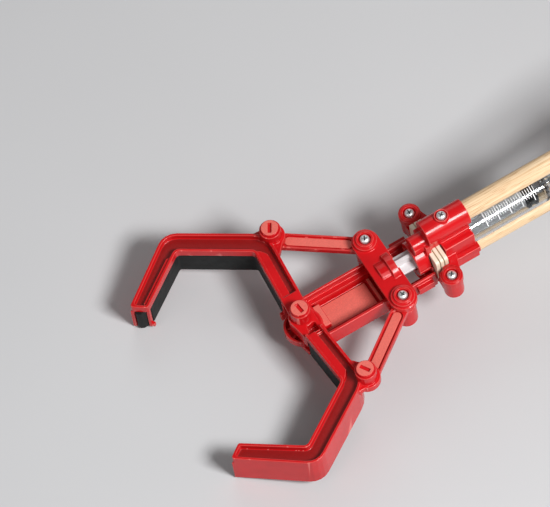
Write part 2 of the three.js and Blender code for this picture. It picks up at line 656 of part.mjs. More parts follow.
// ---- syringes ----
// 'dir' is +1 when the nozzle points back along -X, measured from the flange's outer face.
function barrel(flangeX, dir, length, wide, tall) {
  const x = (d) => flangeX - dir * d;
  const profile = [
    [x(0), 0], [x(0), BARREL_R], [x(length), BARREL_R], [x(length + 1.6), 6.4], [x(length + 1.6), 3.4],
    [x(length + 2), 2.2], [x(length + NOZZLE_LENGTH), 1.9], [x(length + NOZZLE_LENGTH), 0],
  ];
  if (dir > 0) profile.reverse();
  const outer = turned(profile);
  const inner = [
    [x(-1), 0], [x(-1), BORE_R], [x(length - 1.2), BORE_R], [x(length), 5], [x(length), NOZZLE_BORE_R],
    [x(length + NOZZLE_LENGTH + 1), NOZZLE_BORE_R], [x(length + NOZZLE_LENGTH + 1), 0],
  ];
  if (dir > 0) inner.reverse();
  const lo = Math.min(x(0), x(FLANGE_T));
  const hi = Math.max(x(0), x(FLANGE_T));
  let flange = box(lo, hi, -wide, wide, -tall, tall);
  const [innerWide, innerTall] = [wide - GROOVE_DEEP, tall - GROOVE_DEEP];
  for (const d of FLANGE_GROOVES) {
    const a = Math.min(x(d), x(d + GROOVE_W));
    const b = Math.max(x(d), x(d + GROOVE_W));
    flange = cut(
      flange,
      cut(box(a, b, -20, 20, -20, 20), box(a - 1, b + 1, -innerWide, innerWide, -innerTall, innerTall)),
    );
  }
  return cut(join(outer, flange), turned(inner));
}

function plungerRod(from, to, seal, disc) {
  // Cross-ribbed rod with a keeper disc behind the seal; 'disc' is the radius of the driven end.
  const parts = [
    box(from, to, -ROD_HALF, ROD_HALF, -RIB_T, RIB_T),
    box(from, to, -RIB_T, RIB_T, -ROD_HALF, ROD_HALF),
    bar('x', ROD_HALF, from, from + 1.6, 0, 0, ROUND),
    bar('x', ROD_HALF, from + 6, from + 7.2, 0, 0, ROUND),
    bar('x', ROD_HALF, from + ROD_RING, from + ROD_RING + 1, 0, 0, ROUND),
  ];
  if (seal < from) parts.push(bar('x', 2, seal, from + 0.1, 0, 0, SMALL));
  else parts.push(bar('x', 2, to - 0.1, seal, 0, 0, SMALL));
  if (disc > 0) parts.push(bar('x', disc, to - DISC_T, to, 0, 0, ROUND));
  return join(...parts);
}

function seal(x0, nose) {
  // Rubber piston with two lips, hollow at the back for the rod's stem.
  const x = (d) => (nose < 0 ? x0 - d : x0 + d);
  const profile = [
    [x(0), 0], [x(0), 6.2], [x(0.5), 6.7], [x(1.6), 6.7], [x(2), 6.1], [x(4), 6.1],
    [x(4.4), 6.7], [x(5.4), 6.7], [x(6), 6], [x(7.4), 0],
  ];
  if (nose < 0) profile.reverse();
  const hole = nose < 0 ? bar('x', 2.3, x(3), x(-1), 0, 0, SMALL) : bar('x', 2.3, x(-1), x(3), 0, 0, SMALL);
  return cut(turned(profile), hole);
}

function thumbCap() {
  const x = THUMB_X;
  const profile = [
    [x + 8.6, 0], [x + 8.6, 6.6], [x + 6.4, 6.9], [x + 4.6, 8], [x + 3.2, 10.2], [x + 2.4, 13],
    [x + 1.6, 13.5], [x + 0.7, 13.5], [x, 12.8], [x, 9], [x + 0.8, 7], [x + 1, 0],
  ];
  profile.reverse();
  return cut(
    turned(profile, 0, 0, FINE),
    bar('x', ROD_HALF + GAP, x + 3.5, x + 9, 0, 0, ROUND),
  );
}

// ---- tube, dowels, middle bracket ----
function tube() {
  return cut(bar('x', TUBE_R, ...TUBE_X, 0, 0, ROUND), bar('x', TUBE_BORE_R, -240, -130, 0, 0, ROUND));
}

function middleBracket() {
  const body = join(
    bar('x', CLAMP_R, ...MIDDLE_X, 0, DOWEL_Z, ROUND),
    bar('x', CLAMP_R, ...MIDDLE_X, 0, -DOWEL_Z, ROUND),
    box(-187, -172, -3.6, 3.6, -DOWEL_Z, DOWEL_Z),
    sidePlate(rounded([
      [-189, 13, 0], [-170, 13, 0], [-173.5, 5, 5], [-173.5, -5, 5],
      [-170, -13, 0], [-189, -13, 0], [-185.5, -5, 5], [-185.5, 5, 5],
    ]), -5.4, 5.4),
    bar('x', 6.2, -187.6, -171.4, 0, 0, ROUND),
  );
  return cut(
    body,
    bar('x', DOWEL_R + GAP, -200, -160, 0, DOWEL_Z, ROUND),
    bar('x', DOWEL_R + GAP, -200, -160, 0, -DOWEL_Z, ROUND),
    bar('x', 3.4, -200, -160, 0, 0, ROUND),
  );
}

function dowel(z) {
  const [rear, front] = DOWEL_X;
  const c = DOWEL_CHAMFER;
  return turned([
    [rear, 0], [rear, DOWEL_R - c], [rear + c, DOWEL_R],
    [front - c, DOWEL_R], [front, DOWEL_R - c], [front, 0],
  ], 0, z, ROUND);
}

// ---- handle ----
function handle() {
  const h = HANDLE_HALF;
  const web = rounded([
    [-319, 2, 3], [-309, 12, 0], [-300.5, 16, 0], [-297, 24, 3], [-286, 24.5, 2], [-286, -24.5, 2],
    [-297, -24, 3], [-302, -14, 0], [-312, -10, 0], [-319, -4, 3],
  ]);
  const body = join(
    sidePlate(web, -h + 1.5, h - 1.5),
    sidePlate(stadium(FINGER, FINGER.map((v, i) => v + (i ? 0.01 : 0)), RING_R, 16), -RING_HALF, RING_HALF),
    sidePlate(stadium(OVAL_TOP, OVAL_END, RING_R, 14), -RING_HALF, RING_HALF),
    bar('x', CLAMP_R, ...HANDLE_CLAMP_X, 0, DOWEL_Z, FINE),
    bar('x', CLAMP_R, ...HANDLE_CLAMP_X, 0, -DOWEL_Z, FINE),
    box(-304.5, -279, -9.8, 9.8, -10.6, 10.6),
    box(-309, -294, -h, h, -15, 15),
    bar('x', 7.6, -320, -303, 0, 0, ROUND),
  );
  return cut(
    body,
    sidePlate(stadium(FINGER, FINGER.map((v, i) => v + (i ? 0.01 : 0)), RING_R - RING_WALL, 16), -20, 20),
    sidePlate(stadium(OVAL_TOP, OVAL_END, RING_R - RING_WALL, 14), -20, 20),
    bar('x', BARREL_R + GAP, -304, -270, 0, 0, ROUND),
    box(-297, -270, -12, 0, -7.7, 7.7),
    box(-303.4, -295.9, -12, 6.4, -13.2, 13.2),
    bar('x', ROD_HALF + 0.6, -330, -300, 0, 0, ROUND),
    bar('x', DOWEL_R + GAP, -285, -260, 0, DOWEL_Z, ROUND),
    bar('x', DOWEL_R + GAP, -285, -260, 0, -DOWEL_Z, ROUND),
    ...[-DOWEL_Z, DOWEL_Z].flatMap((z) => HANDLE_SCREW_X.map(
      (x) => bar('y', SCREW_HOLE_R, -9, -4, x, z, TINY),
    )),
  );
}

// ---- assembly ----
const RED = { color: 0xd6131c, roughness: 0.32, metalness: 0 };
const BLACK = { color: 0x1d1e1f, roughness: 0.75, metalness: 0 };
const STEEL = { color: 0xc9cbce, roughness: 0.28, metalness: 1 };
const WOOD = { color: 0xe2c596, roughness: 0.65, metalness: 0 };
const CLEAR = { color: 0xcfd8dc, roughness: 0.15, metalness: 0, transparent: true, opacity: 0.45 };
const MILKY = { color: 0xe6ebec, roughness: 0.35, metalness: 0 };
const WATER = { color: 0x7fb6d9, roughness: 0.1, metalness: 0 };

const arm = new THREE.Group();
arm.name = 'arm';

function add(name, solid, look) {
  const m = solid.getMesh();
  const positions = [];
  for (let i = 0; i < m.triVerts.length; i += 1) {
    const v = m.triVerts[i] * m.numProp;
    positions.push(m.vertProperties[v], m.vertProperties[v + 1], m.vertProperties[v + 2]);
  }
  const g = new THREE.BufferGeometry();
  g.setAttribute('position', new THREE.Float32BufferAttribute(positions, 3));
  g.computeVertexNormals();
  const mesh = new THREE.Mesh(g, new THREE.MeshStandardMaterial(look));
  mesh.name = name;
  arm.add(mesh);
}

add('frame', frame(), RED);
add('bracket_top', bracketTop(), RED);
add('middle_bracket', middleBracket(), RED);
add('handle', handle(), RED);
add('dowel_upper', dowel(DOWEL_Z), WOOD);
add('dowel_lower', dowel(-DOWEL_Z), WOOD);
add('claw_left', claw(1), RED);
add('claw_right', claw(-1), RED);
add('grip_strip_left', gripStrip(1), BLACK);
add('grip_strip_right', gripStrip(-1), BLACK);
add('link_left', link(1), RED);
add('link_right', link(-1), RED);
add('claw_pivot_pin', slottedPin(0, 0, PIVOT_R, CLAW_BOTTOM - 0.4, 1.68), RED);
add('link_pin_left', slottedPin(LINK_PIN[0], LINK_PIN[1], PIN_R, LINK_Z0 - GAP, 2.12), RED);
add('link_pin_right', slottedPin(LINK_PIN[0], -LINK_PIN[1], PIN_R, LINK_Z0 - GAP, 1.04), RED);
add('crosshead_top', crossheadTop(), RED);
add('crosshead_bottom', crossheadBottom(), RED);
add('crosshead_screw_left', screw('z', CROSS_X, CROSS_Y, 8.8, 2.4, -13.3, 1.6), STEEL);
add('crosshead_screw_right', screw('z', CROSS_X, -CROSS_Y, 8.8, 2.4, -13.3, 1.6), STEEL);
add('bracket_screw_left', screw('z', EAR_X, EAR_Y, 5.5, 2.4, -7.2, 1.4), STEEL);
add('bracket_screw_right', screw('z', EAR_X, -EAR_Y, 5.5, 2.4, -7.2, 1.4), STEEL);
add('clamp_screw_upper', screw('z', CLAMP_SCREW_X, 0, 26, 2.4, 22.2, 1.3), STEEL);
add('clamp_screw_lower', screw('z', CLAMP_SCREW_X, 0, -26.3, 2.4, -22.2, 1.3), STEEL);
for (const [tag, s] of [['upper', 1], ['lower', -1]]) {
  add(`handle_screw_${tag}_front`, screw('y', HANDLE_SCREW_X[1], s * DOWEL_Z, -9.4, 2.2, -5.2, 1.4), STEEL);
  add(`handle_screw_${tag}_rear`, screw('y', HANDLE_SCREW_X[0], s * DOWEL_Z, -9.4, 2.2, -5.2, 1.4), STEEL);
}
add('front_barrel', barrel(FRONT_FLANGE_X, 1, 65, FLANGE_WIDE, FLANGE_TALL), CLEAR);
add('front_plunger', plungerRod(-120.6, DISC_X, -123.3, DISC_R), MILKY);
add('front_seal', seal(-120.9, -1), BLACK);
add('rear_barrel', barrel(REAR_FLANGE_X, -1, 62, FLANGE_TALL, FLANGE_WIDE), CLEAR);
add('rear_plunger', plungerRod(-385.2, -296.6, -293.9, 0), MILKY);
add('rear_seal', seal(-296.3, 1), BLACK);
add('thumb_cap', thumbCap(), RED);
add('tube', tube(), CLEAR);
add('tube_water', bar('x', 2.2, -228.2, -144.6, 0, 0, SMALL), WATER);

// ---- resting attitude: claw tips and big ring on the table, origin under the middle ----
const tip = clawEdge(1, 0)[3];
const reachX = tip[0] - OVAL_END[0];
const reachZ = CLAW_BOTTOM - OVAL_END[1];
const pitch = Math.atan2(reachZ, reachX) + Math.asin(RING_R / Math.hypot(reachX, reachZ));
const lift = tip[0] * Math.sin(pitch) - CLAW_BOTTOM * Math.cos(pitch);
arm.rotation.y = pitch;
arm.position.z = lift;

const part = new THREE.Group();
part.name = 'hydraulic_gripper_arm';
part.add(arm);
part.updateMatrixWorld(true);
const bounds = new THREE.Box3().setFromObject(part, true);
arm.position.x = -(bounds.min.x + bounds.max.x) / 2;

export default part;
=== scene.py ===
"""Toy hydraulic gripper arm: the finished look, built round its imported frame.

Lengths are millimetres in the arm's own frame until ARM turns them into metres in the row frame:
x runs along the arm to the claws, y across the claws, z up, and the claws' pivot is the origin.
"""
import json
import math

import bmesh
import bpy
from mathutils import Matrix, Vector


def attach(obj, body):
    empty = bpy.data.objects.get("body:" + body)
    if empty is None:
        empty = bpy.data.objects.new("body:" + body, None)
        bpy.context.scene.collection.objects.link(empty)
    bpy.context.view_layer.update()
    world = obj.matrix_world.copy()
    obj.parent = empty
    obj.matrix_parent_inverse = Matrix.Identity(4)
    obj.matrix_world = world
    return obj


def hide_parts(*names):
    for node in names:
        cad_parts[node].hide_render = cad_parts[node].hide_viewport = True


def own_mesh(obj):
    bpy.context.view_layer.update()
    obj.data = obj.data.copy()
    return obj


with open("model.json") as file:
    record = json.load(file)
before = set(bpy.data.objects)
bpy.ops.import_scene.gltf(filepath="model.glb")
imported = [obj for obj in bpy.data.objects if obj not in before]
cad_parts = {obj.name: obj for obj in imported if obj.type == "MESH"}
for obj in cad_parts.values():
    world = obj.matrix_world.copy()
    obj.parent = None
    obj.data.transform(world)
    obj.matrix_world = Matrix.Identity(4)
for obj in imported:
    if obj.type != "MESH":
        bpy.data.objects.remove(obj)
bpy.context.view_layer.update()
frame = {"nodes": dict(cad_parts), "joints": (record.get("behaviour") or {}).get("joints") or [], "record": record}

MM = 0.001
JOINTS = {joint["name"]: joint for joint in frame["joints"]}
BODY_OF = {
    node: body
    for body, members in frame["record"]["behaviour"]["bodies"].items()
    for node in members
}

# Driving sizes, in millimetres.
BARREL_R = 8.0
BORE_R = 7.0
NOZZLE_LENGTH = 12.0
NOZZLE_BORE_R = 1.0
SHOULDER_LENGTH = 1.6
TUBE_R = 3.1
TUBE_BORE_R = 2.5
TUBE_WATER_R = 2.2
DOWEL_R = 4.8
ROD_SOCKET_R = 5.5
FLANGE_LAYERS = ((2.0, 0.0), (0.5, 1.5), (1.7, 0.0), (0.5, 1.5), (1.8, 0.0))  # thickness, inset
FLANGE_SQUARENESS = 14  # exponent of the finger plate's rounded rectangle
ML = 6.5  # length of one millilitre in the bore
SCALE_START = 32.0  # from the barrel's mouth to the first mark
SCALE_MARKS = 22
INK_PROUD = 0.05

# Heights in the arm's frame of the level faces that are textured panels. Their colours are painted light: a paler
# copy of the red gives painted sheen on the tops, and a darker copy gives painted shade on the claws' tray floor.
CLAW_FLOOR_Z = 4.7
LINK_PANEL_Z = 1.3
CAP_Z = 14.0
FRAME_FLOOR_Z = -10.0
FRAME_STEP_Z = -4.5
PANEL_BAND = 0.22
LEVEL_FACE = 0.93  # least upward part of a level face's normal
RECESS_RIM = 0.3  # depth below a screw's top from which its cross is painted dark as shade

# Studio, in metres and watts; the lights' aim and the camera's place are in arm millimetres.
LIGHTS_AIM = (-20.0, 0.0, 0.0)
LIGHTS = (  # name, place from the aim, size, power
    ("key", (-0.24, 0.93, 1.16), (0.5, 0.4), 25),
    ("fill", (-0.4, -1.3, 1.0), (0.9, 0.9), 3),
    ("front", (1.3, 0.3, 0.7), (0.8, 0.8), 3),
)
WORLD_STRENGTH = 0.15
TABLE_SIZE = 4.0
TABLE_DROP = 0.0005
CAMERA_ANGLES = (70.58, 61.63, -12.34)  # azimuth, elevation and roll round the arm, in degrees
CAMERA_AWAY = 5500.28
CAMERA_SHIFT = (-13.23, 34.06)
CAMERA_DROP = 4.3
CAMERA_LENS = 763.3


def arm_matrix():
    """Arm millimetres to row metres, from the joints' own axes."""
    x = Vector(JOINTS["thumb_push"]["axis"]).normalized()
    z = Vector(JOINTS["left_claw_swing"]["axis"]).normalized()
    turn = Matrix((x, z.cross(x), z)).transposed().to_4x4()
    turn.translation = Vector(JOINTS["left_claw_swing"]["pos_m"])
    return turn @ Matrix.Scale(MM, 4)


ARM = arm_matrix()
TURN = ARM.to_3x3().normalized()


def arm_box(node):
    """Lowest and highest corners of a CAD node in the arm's frame."""
    back = ARM.inverted()
    points = [back @ v.co for v in frame["nodes"][node].data.vertices]
    low = Vector([min(p[i] for p in points) for i in range(3)])
    high = Vector([max(p[i] for p in points) for i in range(3)])
    return low, high


# ---------------------------------------------------------------- materials

def new_material(name):
    mat = bpy.data.materials.new(name)
    mat.use_nodes = True
    return mat, mat.node_tree, mat.node_tree.nodes["Principled BSDF"]


def noise(tree, scale, detail=3.0, stretch=None):
    """Noise that keeps its place on the piece; stretch draws it out along the arm."""
    coords = tree.nodes.new("ShaderNodeTexCoord")
    tex = tree.nodes.new("ShaderNodeTexNoise")
    tex.inputs["Scale"].default_value = scale
    tex.inputs["Detail"].default_value = detail
    if stretch is None:
        tree.links.new(coords.outputs["Object"], tex.inputs["Vector"])
        return tex.outputs["Fac"]
    mapping = tree.nodes.new("ShaderNodeMapping")
    mapping.vector_type = "TEXTURE"
    mapping.inputs["Rotation"].default_value = TURN.to_euler()
    mapping.inputs["Scale"].default_value = stretch
    tree.links.new(coords.outputs["Object"], mapping.inputs["Vector"])
    tree.links.new(mapping.outputs["Vector"], tex.inputs["Vector"])
    return tex.outputs["Fac"]


def ramp(tree, value, stops):
    node = tree.nodes.new("ShaderNodeValToRGB")
    while len(node.color_ramp.elements) < len(stops):
        node.color_ramp.elements.new(0.5)
    for element, (place, color) in zip(node.color_ramp.elements, stops):
        element.position = place
        element.color = (*color, 1.0)
    tree.links.new(value, node.inputs["Fac"])
    return node.outputs["Color"]


def spread(tree, value, low, high):
    node = tree.nodes.new("ShaderNodeMapRange")
    node.inputs["To Min"].default_value = low
    node.inputs["To Max"].default_value = high
    tree.links.new(value, node.inputs["Value"])
    return node.outputs["Result"]


def paint(tree, shader, value, stops):
    tree.links.new(ramp(tree, value, stops), shader.inputs["Base Color"])


def roughen(tree, shader, value, low, high):
    tree.links.new(spread(tree, value, low, high), shader.inputs["Roughness"])


def bump(tree, shader, value, strength, distance):
    node = tree.nodes.new("ShaderNodeBump")
    node.inputs["Strength"].default_value = strength
    node.inputs["Distance"].default_value = distance
    tree.links.new(value, node.inputs["Height"])
    tree.links.new(node.outputs["Normal"], shader.inputs["Normal"])


def grey(level):
    return (level, level, level)


def red_plastic(name, base, rough, rim_highlight):
    """Moulded plastic with flow marks, a faint orange peel and a painted highlight along its edges."""
    mat, tree, shader = new_material(name)
    dark = tuple(c * 0.84 for c in base)
    light = (min(1.0, base[0] * 1.06), base[1] * 1.3, base[2] * 1.3)
    flow = noise(tree, 55.0, 4.0)
    color = ramp(tree, flow, [(0.3, dark), (0.52, base), (0.75, light)])
    # Sharp edges are mixed towards pale pink: a painted highlight along the rims.
    edge = tree.nodes.new("ShaderNodeNewGeometry").outputs["Pointiness"]
    rim = ramp(tree, edge, [(0.518, grey(0.0)), (0.575, grey(rim_highlight))])
    mix = tree.nodes.new("ShaderNodeMix")
    mix.data_type = "RGBA"
    mix.inputs["B"].default_value = (0.95, 0.3, 0.26, 1.0)
    tree.links.new(rim, mix.inputs["Factor"])
    tree.links.new(color, mix.inputs["A"])
    tree.links.new(mix.outputs["Result"], shader.inputs["Base Color"])
    roughen(tree, shader, noise(tree, 140.0, 6.0), *rough)
    bump(tree, shader, noise(tree, 900.0, 2.0), 0.06, 0.0002)
    shader.inputs["Specular IOR Level"].default_value = 0.34
    return mat


def grained_plastic(name, base):
    """Finely textured panel of the same moulding: matt, speckled and lightly scuffed. Its base colour is painted
    light: a paler copy of the red gives painted sheen on level tops, and a darker copy gives painted shade on the
    claws' tray floors.
    """
    mat, tree, shader = new_material(name)
    dark = tuple(c * 0.92 for c in base)
    light = tuple(min(1.0, c * 1.07) for c in base)
    speckle = noise(tree, 1300.0, 3.0)
    paint(tree, shader, speckle, [(0.34, dark), (0.5, base), (0.68, light)])
    roughen(tree, shader, noise(tree, 160.0, 5.0), 0.34, 0.5)
    bump(tree, shader, speckle, 0.16, 0.0002)
    return mat


def wood():
    """Sanded pale dowel: long grain, darker flecks and fine pores."""
    mat, tree, shader = new_material("pale_dowel_wood")
    grain = noise(tree, 1.0, 5.0, stretch=(0.06, 0.0011, 0.0011))
    fleck = noise(tree, 1.0, 3.0, stretch=(0.009, 0.00035, 0.00035))
    tones = [(0.3, (0.7, 0.46, 0.25)), (0.5, (0.84, 0.6, 0.36)), (0.7, (0.92, 0.73, 0.49))]
    flecks = ramp(tree, fleck, [(0.36, (0.72, 0.6, 0.5)), (0.46, grey(1.0))])
    mix = tree.nodes.new("ShaderNodeMix")
    mix.data_type = "RGBA"
    mix.blend_type = "MULTIPLY"
    mix.inputs["Factor"].default_value = 1.0
    tree.links.new(ramp(tree, grain, tones), mix.inputs["A"])
    tree.links.new(flecks, mix.inputs["B"])
    tree.links.new(mix.outputs["Result"], shader.inputs["Base Color"])
    roughen(tree, shader, fleck, 0.5, 0.72)
    bump(tree, shader, fleck, 0.25, 0.0002)
    return mat


def rubber():
    mat, tree, shader = new_material("black_rubber")
    tones = [(0.3, (0.004, 0.005, 0.005)), (0.7, (0.012, 0.013, 0.013))]
    paint(tree, shader, noise(tree, 300.0, 5.0), tones)
    roughen(tree, shader, noise(tree, 220.0, 4.0), 0.5, 0.72)
    shader.inputs["Specular IOR Level"].default_value = 0.25
    bump(tree, shader, noise(tree, 1800.0, 2.0), 0.2, 0.0002)
    return mat


def steel():
    """Bright zinc plating with fine turning marks."""
    mat, tree, shader = new_material("bright_zinc")
    tones = [(0.3, (0.82, 0.82, 0.83)), (0.7, grey(0.96))]
    paint(tree, shader, noise(tree, 700.0, 4.0), tones)
    roughen(tree, shader, noise(tree, 1500.0, 3.0), 0.3, 0.5)
    shader.inputs["Metallic"].default_value = 0.75
    bump(tree, shader, noise(tree, 2500.0, 2.0), 0.12, 0.0001)
    return mat


def shade_painted_recess_steel():
    """Inside of a screw's cross, painted dark as shade."""
    mat, tree, shader = new_material("painted_shade_screw_recess")
    tones = [(0.3, (0.03, 0.03, 0.032)), (0.7, (0.09, 0.09, 0.095))]
    paint(tree, shader, noise(tree, 900.0, 3.0), tones)
    roughen(tree, shader, noise(tree, 1500.0, 3.0), 0.45, 0.7)
    shader.inputs["Metallic"].default_value = 0.6
    return mat


def clear_plastic(name, tint, rough, weight=1.0):
    mat, tree, shader = new_material(name)
    dim = tuple(c * 0.93 for c in tint)
    paint(tree, shader, noise(tree, 120.0, 3.0), [(0.35, dim), (0.65, tint)])
    roughen(tree, shader, noise(tree, 260.0, 4.0), rough * 0.6, rough * 1.5)
    shader.inputs["Transmission Weight"].default_value = weight
    shader.inputs["IOR"].default_value = 1.49
    return mat


def cream_plastic():
    mat, tree, shader = new_material("cream_flange_plastic")
    tones = [(0.3, (0.84, 0.72, 0.54)), (0.7, (0.94, 0.86, 0.7))]
    paint(tree, shader, noise(tree, 80.0, 4.0), tones)
    roughen(tree, shader, noise(tree, 200.0, 4.0), 0.28, 0.44)
    bump(tree, shader, noise(tree, 900.0, 2.0), 0.08, 0.0002)
    return mat


def ink():
    """Printed white scale, a little thin in places."""
    mat, tree, shader = new_material("printed_white_ink")
    tones = [(0.3, (0.72, 0.74, 0.76)), (0.6, grey(0.95))]
    paint(tree, shader, noise(tree, 900.0, 5.0), tones)
    shader.inputs["Roughness"].default_value = 0.5
    return mat


def floor_material():
    mat, tree, shader = new_material("pale_table")
    tones = [(0.3, (0.58, 0.58, 0.59)), (0.7, (0.62, 0.62, 0.63))]
    paint(tree, shader, noise(tree, 3.0, 3.0), tones)
    shader.inputs["Roughness"].default_value = 0.6
    return mat


# The last argument sets the strength of the painted edge highlight.
RED = red_plastic("red_moulded_plastic", (0.6, 0.007, 0.01), (0.17, 0.28), 0.5)
# Darker copy of the red: painted shade on the claws' tray floors.
SHADE_FLOOR = grained_plastic("shade_painted_red_floor", (0.26, 0.004, 0.004))
# Paler copy of the red: painted sheen on the level tops of the frame, links and pin caps.
SHEEN_PANEL = grained_plastic("sheen_painted_red_panel", (0.76, 0.15, 0.118))
WOOD = wood()
RUBBER = rubber()
STEEL = steel()
SHADED_RECESS = shade_painted_recess_steel()
CLEAR = clear_plastic("clear_syringe_plastic", (0.74, 0.77, 0.79), 0.06)
MILKY = clear_plastic("milky_plunger_plastic", (0.86, 0.84, 0.85), 0.3, 0.08)
WATER = clear_plastic("tinted_water", (0.35, 0.66, 0.92), 0.02)
CREAM = cream_plastic()
INK = ink()


# ---------------------------------------------------------------- shapes

def piece(name, bm, material, body, node=None, smooth=35.0, panels=()):
    """Turns arm-frame geometry into an object that rides on a body.

    Each panel is (height, material): the level faces at that height take the panel's material.
    """
    bmesh.ops.recalc_face_normals(bm, faces=bm.faces)
    for k, (height, _) in enumerate(panels):
        for face in bm.faces:
            level = face.normal.z > LEVEL_FACE
            if level and abs(face.calc_center_median().z - height) < PANEL_BAND:
                face.material_index = k + 1
    mesh = bpy.data.meshes.new(name)
    bm.to_mesh(mesh)
    bm.free()
    mesh.transform(ARM)
    mesh.materials.append(material)
    for _, second in panels:
        mesh.materials.append(second)
    mesh.shade_smooth()
    mesh.set_sharp_from_angle(angle=math.radians(smooth))
    obj = bpy.data.objects.new(name, mesh)
    bpy.context.scene.collection.objects.link(obj)
    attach(obj, body)
    if node:
        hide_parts(node)
    return obj


def rounded_profile(points, steps=5):
    """Each point is (x, radius, fillet): corners with a fillet become arcs."""
    out = []
    last = len(points) - 1
    for i, (x, r, fillet) in enumerate(points):
        p = Vector((x, r))
        if not fillet or i in (0, last):
            out.append(p)
            continue
        a = (Vector(points[i - 1][:2]) - p).normalized()
        b = (Vector(points[i + 1][:2]) - p).normalized()
        start, end = p + a * fillet, p + b * fillet
        for k in range(steps + 1):
            t = k / steps
            out.append(start * (1 - t) ** 2 + p * (2 * t * (1 - t)) + end * t ** 2)
    return out


def lathe(profile, y=0.0, z=0.0, segments=64, closed=False):
    """Turns (x, radius) points round a line along the arm; a closed profile makes a tube."""
    bm = bmesh.new()
    rings = []
    for x, r in profile:
        if r < 1e-6:
            rings.append([bm.verts.new((x, y, z))])
            continue
        ring = []
        for k in range(segments):
            t = 2 * math.pi * k / segments
            ring.append(bm.verts.new((x, y + r * math.cos(t), z + r * math.sin(t))))
        rings.append(ring)
    pairs = list(zip(rings, rings[1:]))
    if closed:
        pairs.append((rings[-1], rings[0]))
    for a, b in pairs:
        for k in range(segments):
            m = (k + 1) % segments
            corners = [a[k % len(a)], a[m % len(a)], b[m % len(b)], b[k % len(b)]]
            unique = list(dict.fromkeys(corners))
            if len(unique) > 2:
                bm.faces.new(unique)
    return bm


def soft_box(low, high, edge=0.3, segments=2):
    bm = bmesh.new()
    bmesh.ops.create_cube(bm, size=1.0)
    size = Vector(high) - Vector(low)
    middle = (Vector(high) + Vector(low)) / 2
    bmesh.ops.scale(bm, vec=size, verts=bm.verts)
    bmesh.ops.translate(bm, vec=middle, verts=bm.verts)
    bmesh.ops.bevel(
        bm, geom=bm.edges[:], offset=edge, segments=segments, profile=0.5, affect="EDGES",
    )
    return bm


def merged(parts):
    """One bmesh that holds several closed shells."""
    whole = bmesh.new()
    for part in parts:
        mesh = bpy.data.meshes.new("shell")
        part.to_mesh(mesh)
        part.free()
        whole.from_mesh(mesh)
        bpy.data.meshes.remove(mesh)
    return whole


def applied(obj):
    """The object's mesh with its modifiers applied."""
    bpy.context.view_layer.update()
    evaluated = obj.evaluated_get(bpy.context.evaluated_depsgraph_get())
    return bpy.data.meshes.new_from_object(evaluated)


def refined(node, material, voxel=0.26, keep=0.12, panels=()):
    """The node's shape with moulded edges: remeshed, softened and thinned again."""
    bm = bmesh.new()
    bm.from_mesh(frame["nodes"][node].data)
    bmesh.ops.transform(bm, matrix=ARM.inverted(), verts=bm.verts)
    bmesh.ops.remove_doubles(bm, verts=bm.verts, dist=0.002)
    mesh = bpy.data.meshes.new(f"{node}_raw")
    bm.to_mesh(mesh)
    bm.free()
    raw = bpy.data.objects.new(f"{node}_raw", mesh)
    bpy.context.scene.collection.objects.link(raw)
    remesh = raw.modifiers.new("remesh", "REMESH")
    remesh.mode = "VOXEL"
    remesh.voxel_size = voxel
    soften = raw.modifiers.new("soften", "SMOOTH")
    soften.factor = 0.5
    soften.iterations = 4
    thin = raw.modifiers.new("thin", "DECIMATE")
    thin.ratio = keep
    done = applied(raw)
    bpy.data.objects.remove(raw)
    bm = bmesh.new()
    bm.from_mesh(done)
    name = f"{node}_moulded"
    obj = piece(name, bm, material, BODY_OF[node], node, smooth=60.0, panels=panels)
    weighted = obj.modifiers.new("weighted", "WEIGHTED_NORMAL")
    weighted.keep_sharp = True
    return obj


# ---------------------------------------------------------------- pieces

def moulded_parts():
    for node in ("bracket_top", "middle_bracket", "crosshead_top", "crosshead_bottom"):
        refined(node, RED)
    refined("handle", RED, voxel=0.32)
    # The frame's tray floor and step take painted sheen.
    tray_panels = [(FRAME_FLOOR_Z, SHEEN_PANEL), (FRAME_STEP_Z, SHEEN_PANEL)]
    refined("frame", RED, panels=tray_panels)
    # The claws' tray floors take painted shade.
    claw_panels = [(CLAW_FLOOR_Z, SHADE_FLOOR)]
    for side in ("left", "right"):
        refined(f"claw_{side}", RED, voxel=0.24, keep=0.14, panels=claw_panels)
        # The link's top panel takes painted sheen.
        refined(f"link_{side}", RED, voxel=0.16, panels=[(LINK_PANEL_Z, SHEEN_PANEL)])
        refined(f"grip_strip_{side}", RUBBER)
    for node in ("claw_pivot_pin", "link_pin_left", "link_pin_right"):
        # The pin caps' tops take painted sheen.
        refined(node, RED, voxel=0.12, panels=[(CAP_Z, SHEEN_PANEL)])


